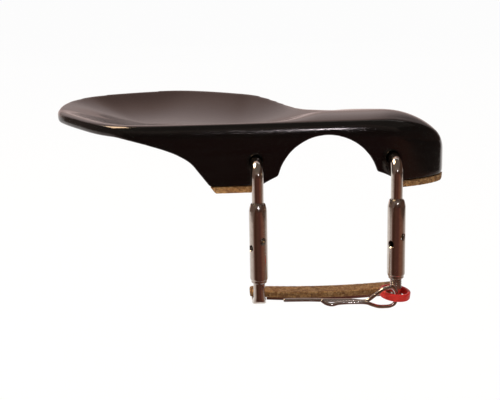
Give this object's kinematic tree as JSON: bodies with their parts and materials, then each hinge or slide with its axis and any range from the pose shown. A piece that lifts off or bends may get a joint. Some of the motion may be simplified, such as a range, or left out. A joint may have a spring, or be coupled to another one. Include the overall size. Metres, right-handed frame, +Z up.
{
  "type": "violin chinrest",
  "caption": "Dished wooden chinrest with an arm over the tailpiece, corked feet and a screw clamp whose legs tighten with a bent wire key.",
  "frame": {"origin": "on the instrument's top edge, in the plane of the foot corks' undersides, midway between the clamp legs at the wood's front face", "axes": "+Z up out of the instrument's top, +X to the right arm along the instrument's end, +Y inwards over the instrument's top"},
  "size_m": [0.1374, 0.0804, 0.065],
  "materials": {
    "ebony": "fine black hardwood, sanded and polished to a soft gloss",
    "cork": "pressed granulated cork, dry and matt",
    "plated_steel": "bright nickel plate on steel rod, tube and sheet",
    "soft_ring": "soft glossy red plastic"
  },
  "bodies": {
    "rest": {"chinrest_body": "ebony", "left_foot_cork": "cork", "right_foot_cork": "cork", "left_hook": "plated_steel", "right_hook": "plated_steel"},
    "lower_clamp": {"left_lower_stud": "plated_steel", "right_lower_stud": "plated_steel", "foot_plate": "plated_steel", "lower_cork": "cork"},
    "left_barrel_body": {"left_barrel": "plated_steel"},
    "right_barrel_body": {"right_barrel": "plated_steel"},
    "ring": {"key_ring": "soft_ring"},
    "key": {"barrel_key": "plated_steel"}
  },
  "joints": [
    {"name": "clamp_slide", "type": "slide", "parent": "rest", "child": "lower_clamp", "axis": [0, 0, 1], "range_m": [-0.0084, 0.0056]},
    {"name": "left_barrel_turn", "type": "hinge", "parent": "lower_clamp", "child": "left_barrel_body", "pos_m": [-0.02345, -0.00735, -0.01585], "axis": [0, 0, 1], "range_deg": [-2160, 1440]},
    {"name": "right_barrel_turn", "type": "hinge", "parent": "lower_clamp", "child": "right_barrel_body", "pos_m": [0.02345, -0.00735, -0.01585], "axis": [0, 0, 1], "range_deg": [-2160, 1440]},
    {"name": "ring_turn", "type": "hinge", "parent": "lower_clamp", "child": "ring", "pos_m": [0.0229, -0.00895, -0.03465], "axis": [0.1219, -0.0606, 0.9907], "range_deg": [0, 80]},
    {"name": "key_swing", "type": "hinge", "parent": "ring", "child": "key", "pos_m": [0.0206, -0.0123, -0.034], "axis": [0, 1, 0], "range_deg": [-65, 25]}
  ],
  "couplings": [
    {"joint": "left_barrel_turn", "follows": "clamp_slide", "rad_per_m": 4488},
    {"joint": "right_barrel_turn", "follows": "clamp_slide", "rad_per_m": 4488}
  ]
}
